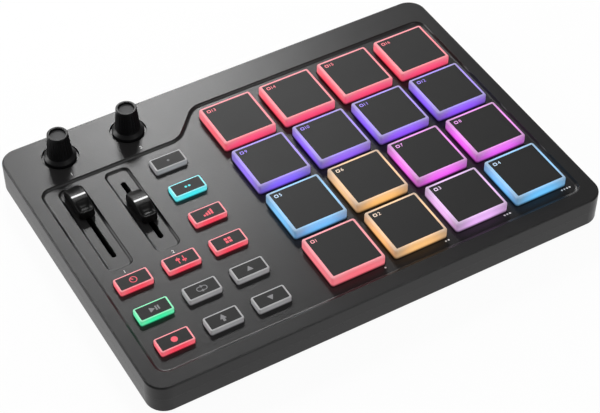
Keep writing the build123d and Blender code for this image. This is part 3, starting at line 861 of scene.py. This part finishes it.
def square_sign(left, back, level):
    """Square frame, as high as the numerals, with its back left corner at a place."""
    half = NUMBER_HEIGHT / 2
    middle = (left + half, back - half)
    outer = rectangle(middle, half, half, SIGN_CORNER)
    inner = rectangle(middle, half - SIGN_LINE, half - SIGN_LINE, SIGN_INNER_CORNER)
    return ring_band(outer, inner, level - PRINT, level + PRINT)


for number, name in enumerate(pad_names, 1):
    middle = middle_of(name)
    left = middle.x - PAD_FACE + NUMBER_INSET[0]
    back = middle.y + PAD_FACE - NUMBER_INSET[1]
    level = pad_top + COAT
    numerals = number_shape(str(number), NUMBER_HEIGHT, left + SIGN_STEP, back, level)
    shape = joined([square_sign(left, back, level), numerals])
    slot_name = pad_slots[name]
    add_piece(name.replace("pad", "pad_number"), shape, name, print_finishes[slot_name])
print("numbers printed on", len(pad_names), "pads")

# %% [markdown]
# ## Symbols on the keys
#
# A key's symbol is drawn from a few rounded bars, dots, triangles and rings, each one a plate or a
# frame. Their places are in millimetres from the middle of the key, X to the right and Y to the
# back.

# %% Parts of symbols
BAR_ROUNDING = 0.12
ARROW_ROUNDING = 0.15
SYMBOL_STEPS = 32


def bar(x, y, width, depth, turn=0.0):
    """Rounded bar about its middle, turned by an angle in degrees."""
    half = np.array([(-1, -1), (1, -1), (1, 1), (-1, 1)]) * (width / 2, depth / 2)
    cos, sin = math.cos(math.radians(turn)), math.sin(math.radians(turn))
    return ("plate", half @ np.array([(cos, sin), (-sin, cos)]) + (x, y), BAR_ROUNDING)


def dot(x, y, radius):
    """Disc: one corner with its rounding."""
    return ("plate", [(x, y)], radius)


def arrow(x, y, size, turn):
    """Triangle that points along a turn in degrees: 0 to the right, 90 to the back."""
    angles = np.radians(turn + np.array([0, 120, 240]))
    corners = np.column_stack([x + size * np.cos(angles), y + size * np.sin(angles)])
    return ("plate", corners, ARROW_ROUNDING)


def loop(x, y, width, depth, rounding, line):
    """Rounded frame about its middle, with a line of an even width."""
    return ("ring", (x, y, width, depth, rounding), line)


def symbol_shape(parts, middle, level):
    """The parts of a symbol as one closed mesh about a middle, half sunk into a level."""
    shapes = []
    for kind, form, size in parts:
        if kind == "plate":
            corners = np.array(form) * MM + np.array(middle)[:2]
            outline = soft_outline(corners, size * MM, SYMBOL_STEPS)
            shapes.append(plate(outline, level - PRINT, level + PRINT))
        else:
            x, y, width, depth, rounding = np.array(form) * MM
            line = size * MM
            place = np.array(middle)[:2] + (x, y)
            outer = rectangle(place, width / 2, depth / 2, rounding)
            inner = rectangle(place, width / 2 - line, depth / 2 - line, rounding - line)
            shapes.append(ring_band(outer, inner, level - PRINT, level + PRINT))
    return joined(shapes)


print("a dot has", len(symbol_shape([dot(0, 0, 1)], (0, 0), 0)[1]), "faces")

# %% [markdown]
# The symbol of the play key is printed in grey. That grey print glows weakly all the same, which is
# painted light and not the light of its key. All others let the light of their key through.

# %% Key symbols
SYMBOLS = {
    "record_button": [dot(0, 0, 1.9)],
    "play_button": [arrow(-1.2, 0, 1.75, 0), bar(1.5, 0, 0.65, 2.9), bar(2.9, 0, 0.65, 2.9)],
    "up_button": [arrow(0, -0.35, 1.9, 90)],
    "down_button": [arrow(0, 0.35, 1.9, 270)],
    "bank_a_button": [dot(0, 0, 0.75)],
    "bank_b_button": [dot(-1.1, 0, 0.75), dot(1.1, 0, 0.75)],
    "full_level_button": [
        bar(-2.4 + 1.6 * step, -1.9 + (1.1 + 0.9 * step) / 2, 0.9, 1.1 + 0.9 * step)
        for step in range(4)
    ],
    "pad_bank_button": [bar(x, y, 1.5, 1.5) for x in (-1.1, 1.1) for y in (-1.1, 1.1)],
    "knob_bank_button": [loop(0, 0, 4.4, 4.4, 2.2, 0.45), bar(-0.65, 0.65, 0.45, 1.5, 45)],
    "fader_bank_button": [
        *(bar(x, 0, 0.35, 4.4) for x in (-1.7, 1.7)),
        bar(-1.7, 0.8, 2.2, 1.0),
        bar(1.7, -0.8, 2.2, 1.0),
    ],
    "note_repeat_button": [
        loop(0, 0, 6.4, 3.4, 1.7, 0.5),
        arrow(0.3, 1.5, 0.95, 0),
        arrow(-0.3, -1.5, 0.95, 180),
    ],
    "shift_button": [arrow(0, 0.7, 1.9, 90), bar(0, -1.2, 1.2, 1.9)],
}
# The play key's symbol takes the grey print, whose weak glow is painted light.
GREY_PRINT_SYMBOL = "play_button"
for name, parts in SYMBOLS.items():
    shape = symbol_shape(parts, middle_of(name), key_top + COAT)
    slot_name = "key_grey" if name == GREY_PRINT_SYMBOL else key_slots[name]
    add_piece(name.replace("button", "symbol"), shape, name, print_finishes[slot_name])
print("symbols on", len(SYMBOLS), "keys")

# %% [markdown]
# ## Fader caps
#
# A fingertip settles in front of the crest of a fader cap, so that end is a scoop with thin side
# rails and a raised lip, and the other end falls away in one round sweep. The CAD solid has the
# cap's size and a plain dish at each end. It could be cut finer in CAD, but such a sweep is easier
# as a formula: closed rings run up the wall, over a rounded edge and in to the middle, and the
# height of the top is one function of the place. This surface replaces the solid and keeps its
# size.

# %% Height of a fader cap
CREST_FRONT = 3.7 * MM
CREST_BACK = 1.2 * MM
CREST_FALL = 0.2 * MM
SCOOP_FLOOR_AT = 8.2 * MM
SCOOP_FLOOR = 3.9 * MM
LIP_AT = 11.3 * MM
LIP_HEIGHT = 4.9 * MM
BACK_HEIGHT = 2.4 * MM
RAIL_AT = 4.1 * MM
RAIL_POWER = 1.4
BACK_POWER = 1.8


def cap_height(across, along, crest, end):
    """Height of the cap's top over its foot, in a cap that ends at a way from its middle.

    In front, the crest falls a little, as a square. Then the rails fall to the lip as a power of
    the way that is left. The scoop between them falls as a square to its floor and rises as a
    square to the lip, and its share fades towards the rails as a fourth power. At the back, the top
    falls as a power of the way from the crest.
    """
    ahead = np.maximum(-along, 0)
    brow = crest - CREST_FALL * np.clip(ahead / CREST_FRONT, 0, 1) ** 2
    rest = 1 - np.clip((ahead - CREST_FRONT) / (LIP_AT - CREST_FRONT), 0, 1)
    rail = LIP_HEIGHT + (brow - LIP_HEIGHT) * rest ** RAIL_POWER
    fall = 1 - np.clip((ahead - CREST_FRONT) / (SCOOP_FLOOR_AT - CREST_FRONT), 0, 1)
    climb = np.clip((ahead - SCOOP_FLOOR_AT) / (LIP_AT - SCOOP_FLOOR_AT), 0, 1)
    scoop = SCOOP_FLOOR + (brow - SCOOP_FLOOR) * fall ** 2 + (LIP_HEIGHT - SCOOP_FLOOR) * climb ** 2
    share = np.clip(1 - (np.abs(across) / RAIL_AT) ** 4, 0, 1)
    behind = np.clip((along - CREST_BACK) / (end - CREST_BACK), 0, 1)
    front_top = rail + share * np.minimum(scoop - rail, 0)
    return front_top - (crest - BACK_HEIGHT) * behind ** BACK_POWER


cap_low, cap_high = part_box("fader_cap_left")
print("cap box in mm:", [round(side / MM, 2) for side in cap_high - cap_low])

# %% Fader caps
CAP_CORNER = 2.4 * MM
CAP_EDGE = 0.45 * MM
CAP_DRAFT = math.tan(math.radians(3.5))
EDGE_TURNS = np.radians([22.5, 45, 67.5])


def even_outline(half, corner, count):
    """Rounded rectangle about the origin, with its points an even way apart along it."""
    rough = rectangle((0, 0), *half, corner)
    closed = np.concatenate([rough, rough[:1]])
    way = np.concatenate([[0], np.cumsum(np.linalg.norm(np.diff(closed, axis=0), axis=1))])
    stops = np.arange(count) / count * way[-1]
    return np.column_stack([np.interp(stops, way, closed[:, axis]) for axis in (0, 1)])


def cap_shape(low, high, count=240, top_rings=30):
    """Closed cap in a box.

    Rings of points run up the leaning wall, round the edge on a quarter circle, and then in to the
    middle of the top, where they shrink evenly and take their height from cap_height.
    """
    half = np.array([high.x - low.x, high.y - low.y]) / 2
    middle = np.array([(low.x + high.x) / 2, (low.y + high.y) / 2])
    crest = high.z - low.z
    foot = even_outline(half, CAP_CORNER, count)

    def inset(way):
        """The foot's outline, moved in by a way on all sides."""
        return foot * (1 - np.reshape(way, (-1, 1)) / half)

    brim = cap_height(*inset(LIP_HEIGHT * CAP_DRAFT + CAP_EDGE).T, crest, half[1])
    wall_top = brim - CAP_EDGE
    lean = wall_top * CAP_DRAFT
    rings = [(foot, np.zeros(count)), (inset(lean), wall_top)]
    for turn in EDGE_TURNS:
        plan = inset(lean + CAP_EDGE * (1 - np.cos(turn)))
        rings.append((plan, wall_top + CAP_EDGE * np.sin(turn)))
    edge = inset(lean + CAP_EDGE)
    for scale in 1 - np.arange(top_rings) / top_rings:
        rings.append((edge * scale, cap_height(*(edge * scale).T, crest, half[1])))
    poles = np.array([[*middle, low.z], [*middle, high.z]])
    return ring_surface(np.stack([np.column_stack([plan + middle, low.z + level])
                                  for plan, level in rings]), poles)


for side in ("left", "right"):
    cap_name = "fader_cap_" + side
    cap = add_piece("cap_body_" + side, cap_shape(*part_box(cap_name)), "fader_" + side,
                    cap_plastic)
    cap.data.shade_smooth()
    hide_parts(cap_name)
print("fader caps of", len(cap.data.polygons), "faces")

# %% [markdown]
# ## Index lines and panel marks
#
# A white line is set into the crest of each fader cap, so that its place can be read at a glance.
# The panel has small pale prints: a number by each knob and fader, and a row of dots in front of
# each of the four front pads.

# %% Index lines
LINE_SIZE = (8.5 * MM, 1.5 * MM)
LINE_GAP = 0.02 * MM
LINE_CORNER = 0.1 * MM
LINE_FILL = 0.19 * MM
LINE_PROUD = 0.02 * MM


def white_ink(name, tone):
    """White screen print, slightly worn."""
    finish, place = start_finish(name)
    wear = place.noise(0.5 * MM, FINE_DETAIL)
    close_finish(place, {
        "Base Color": wear.blend(grey(0.94 * tone), grey(tone)),
        "Roughness": 0.45 + 0.15 * wear,
    })
    return finish


ink = white_ink("white_ink", 253)
for side in ("left", "right"):
    cap_name = "fader_cap_" + side
    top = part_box(cap_name)[1].z
    outline = rectangle(middle_of(cap_name), LINE_SIZE[0] / 2, LINE_SIZE[1] / 2 - LINE_GAP, LINE_CORNER)
    line = plate(outline, top - LINE_FILL, top + LINE_PROUD)
    add_piece("index_line_" + side, line, "fader_" + side, ink)
print("index lines end", round(LINE_PROUD / MM, 2), "mm above the crests")

# %% Panel marks
MARK_HEIGHT = 2.2 * MM
MARK_HALF_WIDTH = 0.6 * MM
KNOB_MARK_BACK = 66.2 * MM
FADER_MARK_BACK = -14.9 * MM
ROW_DOT = 0.58
ROW_STEP = 1.75
ROW_ASIDE = 15.4
ROW_FRONT = 18.9 * MM
LABELS = {
    "knob_mark_left": ("1", "knob_left", KNOB_MARK_BACK, CASE_TOP),
    "knob_mark_right": ("2", "knob_right", KNOB_MARK_BACK, CASE_TOP),
    "fader_mark_left": ("1", "fader_track_left", FADER_MARK_BACK, PANEL_Z),
    "fader_mark_right": ("2", "fader_track_right", FADER_MARK_BACK, PANEL_Z),
}
label_ink = white_ink("label_ink", 235)
for name, (text, control, back, level) in LABELS.items():
    left = middle_of(control).x - MARK_HALF_WIDTH
    add_piece(name, number_shape(text, MARK_HEIGHT, left, back, level), "case", label_ink)
for count, name in enumerate(pad_names[:4], 1):
    middle = middle_of(name)
    row = [dot((step - (count - 1) / 2) * ROW_STEP + ROW_ASIDE, 0, ROW_DOT) for step in range(count)]
    shape = symbol_shape(row, Vector((middle.x, middle.y - ROW_FRONT, 0)), PANEL_Z)
    add_piece(name.replace("pad", "front_mark"), shape, "case", label_ink)
print("labels:", len(LABELS), "rows of dots:", count)

# %% [markdown]
# ## Floor and light
#
# The object stands on a plain white sheet. The sheet is white to the camera and to reflections, and
# a part of it stays ordinary paper, which keeps the object's shadow.

# %% Floor
FLOOR_HALF = 4.0
FLOOR_SHADOW = 0.05


def white_floor(name):
    """White paper that glows by itself to the camera, and to mirrored and refracted rays."""
    finish, place = start_finish(name)
    rays = {ray.socket.name: ray for ray in place.node("ShaderNodeLightPath").outputs()}
    seen = rays["Is Camera Ray"] + rays["Is Glossy Ray"] + rays["Is Transmission Ray"]
    paper = place.node("ShaderNodeBsdfPrincipled", {}, {
        "Base Color": place.noise(2 * MM).blend(grey(238), grey(246)),
        "Roughness": 0.9,
        "Specular IOR Level": 0.0,
    })
    glow = place.node("ShaderNodeEmission", {}, {"Color": grey(255), "Strength": 1.0})
    share = seen.math("MINIMUM", 1.0) * (1 - FLOOR_SHADOW)
    mixed = place.node("ShaderNodeMixShader", {}, {0: share, 1: paper, 2: glow})
    place.node("ShaderNodeOutputMaterial", {}, {"Surface": mixed})
    return finish


sheet = bpy.data.meshes.new("floor")
corners = np.array([(-1, -1, 0), (1, -1, 0), (1, 1, 0), (-1, 1, 0)]) * FLOOR_HALF
sheet.from_pydata(corners.tolist(), [], [(0, 1, 2, 3)])
sheet.materials.append(white_floor("white_floor"))
floor = bpy.data.objects.new("floor", sheet)
bpy.context.scene.collection.objects.link(floor)
print("floor of", 2 * FLOOR_HALF, "m a side")

# %% [markdown]
# Five soft boxes light the object. The small bright one at the back is where the case mirrors
# towards the camera, so its broad reflection brightens the far side of the satin panel and fades to
# the front. A long low one behind it draws the edges that face back. The one at the left lights the
# left wall, and a low one at the front lights the front walls of the pads. One above, to the right,
# draws the rounded front edges. A pale surround fills the shadows.

# %% Lamps and surround
SURROUND = 0.22
LAMPS = {
    # name: place in metres, width and height in metres, watts
    "back_box": ((0.36, 1.06, 0.95), 0.30, 0.26, 7.8),
    "low_back_box": ((0.50, 1.15, 0.40), 1.3, 0.22, 4.6),
    "top_box": ((0.46, -0.35, 1.46), 0.3, 0.3, 4.5),
    "front_box": ((0.20, -1.15, 0.42), 1.0, 0.22, 3.6),
    "left_box": ((-0.62, 0.62, 0.36), 0.45, 0.4, 4.7),
}


def soft_box(name, place, width, height, watts):
    """Area lamp that faces the middle of the object."""
    lamp = bpy.data.lights.new(name, "AREA")
    lamp.shape = "RECTANGLE"
    lamp.size = width
    lamp.size_y = height
    lamp.energy = watts
    box = bpy.data.objects.new(name, lamp)
    box.location = place
    box.rotation_mode = "QUATERNION"
    box.rotation_quaternion = (AIM - Vector(place)).to_track_quat("-Z", "Y")
    bpy.context.scene.collection.objects.link(box)


for name, settings in LAMPS.items():
    soft_box(name, *settings)
world = bpy.data.worlds.new("surround")
world.use_nodes = True
world.node_tree.nodes["Background"].inputs["Color"].default_value = opaque([SURROUND] * 3)
bpy.context.scene.world = world

# %% [markdown]
# ## Sizes
#
# Dressing must not change the object's size.
